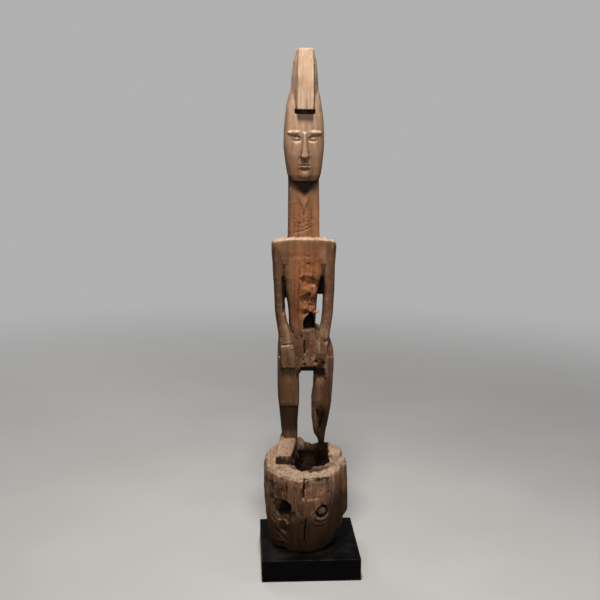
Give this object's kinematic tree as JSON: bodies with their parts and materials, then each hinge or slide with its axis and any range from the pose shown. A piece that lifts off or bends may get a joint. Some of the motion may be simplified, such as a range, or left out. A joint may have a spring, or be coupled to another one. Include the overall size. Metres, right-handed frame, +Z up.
{
  "type": "carved ancestor figure",
  "caption": "Tall weathered wooden standing figure with a blade-like crest, carved from a single trunk with its hollow log base and pinned on a square black display block.",
  "frame": {"origin": "middle of the display block's footprint, on the floor under its pads", "axes": "+Z up; -Y is the side the figure faces; +X is the viewer's right as they face it"},
  "size_m": [0.3, 0.3, 1.573],
  "materials": {
    "old_hardwood": "dry, weathered, with dark cracks and pale worn edges",
    "knot_wood": "dry end grain",
    "black_wood": "matt black stain",
    "pin_steel": "brushed",
    "zinc_steel": "zinc plated",
    "sleeve_brass": "drawn tube, unpolished",
    "pad_rubber": "matt"
  },
  "bodies": {
    "plinth": {"plinth_block": "black_wood", "pin_left": "pin_steel", "pin_right": "pin_steel", "washer_left": "zinc_steel", "washer_right": "zinc_steel", "nut_left": "zinc_steel", "nut_right": "zinc_steel", "foot_pad_front_left": "pad_rubber", "foot_pad_front_right": "pad_rubber", "foot_pad_rear_left": "pad_rubber", "foot_pad_rear_right": "pad_rubber"},
    "figure": {"carved_figure": "old_hardwood", "loose_knot": "knot_wood", "sleeve_left": "sleeve_brass", "sleeve_right": "sleeve_brass"}
  },
  "joints": [
    {"name": "figure_lift", "type": "slide", "parent": "plinth", "child": "figure", "axis": [0, 0, 1], "range_m": [0, 0.11]}
  ]
}
